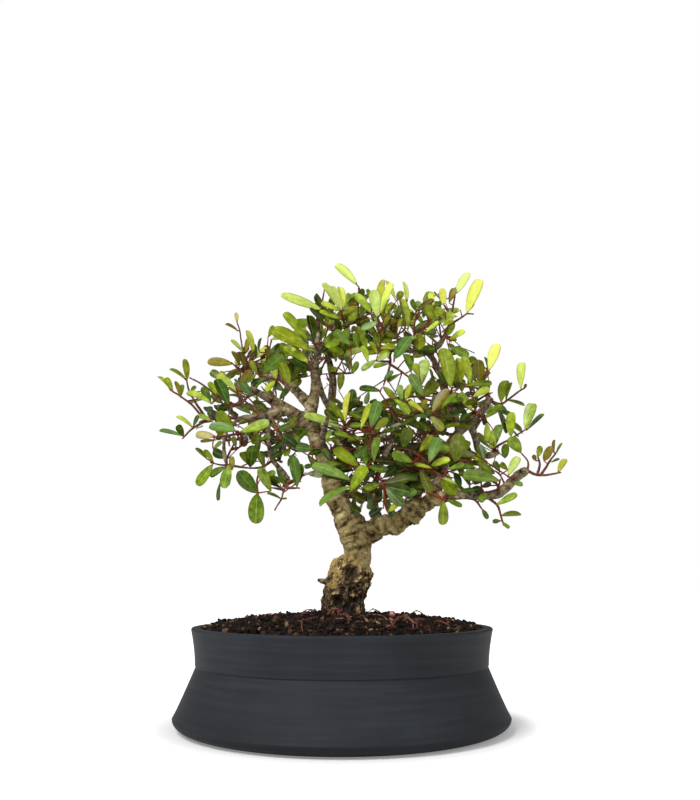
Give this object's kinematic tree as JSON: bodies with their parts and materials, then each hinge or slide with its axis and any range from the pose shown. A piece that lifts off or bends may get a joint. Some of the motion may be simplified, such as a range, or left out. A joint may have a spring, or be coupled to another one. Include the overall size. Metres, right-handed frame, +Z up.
{
  "type": "bonsai tree in a pot",
  "caption": "Small mastic tree grown as a bonsai: bent trunk, forked limbs and leafy shoots in a low round pot of soil, to stand on a table or shelf.",
  "frame": {"origin": "centre of the pot's flat underside, where it stands", "axes": "+Z up; +X to the right as seen from the front, the side that the thick low limb grows to; +Y to the back"},
  "size_m": [0.2654, 0.21, 0.3066],
  "materials": {
    "stoneware": "unglazed dark slate-grey stoneware, matt, faintly mottled",
    "screen": "dark green moulded plastic mesh",
    "soil": "moist dark brown granules of bark, peat and pumice",
    "bark": "living bark: smooth beige-brown with ring wrinkles above, rough dark brown and fissured below",
    "leaf": "leathery evergreen leaflets, half gloss, dark green to yellow-green, on dark red stalks"
  },
  "bodies": {
    "root": {"pot": "stoneware", "drain_screen_left": "screen", "drain_screen_right": "screen", "soil": "soil", "trunk_and_limbs": "bark", "leafy_shoot_01": "leaf", "leafy_shoot_02": "leaf", "leafy_shoot_03": "leaf", "leafy_shoot_04": "leaf", "leafy_shoot_05": "leaf", "leafy_shoot_06": "leaf", "leafy_shoot_07": "leaf", "leafy_shoot_08": "leaf", "leafy_shoot_09": "leaf", "leafy_shoot_10": "leaf", "leafy_shoot_11": "leaf", "leafy_shoot_12": "leaf", "leafy_shoot_13": "leaf", "leafy_shoot_14": "leaf", "leafy_shoot_15": "leaf", "leafy_shoot_16": "leaf", "leafy_shoot_17": "leaf", "leafy_shoot_18": "leaf", "leafy_shoot_19": "leaf", "leafy_shoot_20": "leaf", "leafy_shoot_21": "leaf", "leafy_shoot_22": "leaf", "leafy_shoot_23": "leaf", "leafy_shoot_24": "leaf", "leafy_shoot_25": "leaf", "leafy_shoot_26": "leaf", "leafy_shoot_27": "leaf", "leafy_shoot_28": "leaf", "leafy_shoot_29": "leaf", "leafy_shoot_30": "leaf", "leafy_shoot_31": "leaf", "leafy_shoot_32": "leaf", "leafy_shoot_33": "leaf", "leafy_shoot_34": "leaf", "leafy_shoot_35": "leaf", "leafy_shoot_36": "leaf", "leafy_shoot_37": "leaf", "leafy_shoot_38": "leaf", "leafy_shoot_39": "leaf", "leafy_shoot_40": "leaf", "leafy_shoot_41": "leaf", "leafy_shoot_42": "leaf", "leafy_shoot_43": "leaf", "leafy_shoot_44": "leaf", "leafy_shoot_45": "leaf", "leafy_shoot_46": "leaf", "leafy_shoot_47": "leaf", "leafy_shoot_48": "leaf", "leafy_shoot_49": "leaf", "leafy_shoot_50": "leaf", "leafy_shoot_51": "leaf", "leafy_shoot_52": "leaf", "leafy_shoot_53": "leaf", "leafy_shoot_54": "leaf"}
  },
  "joints": []
}
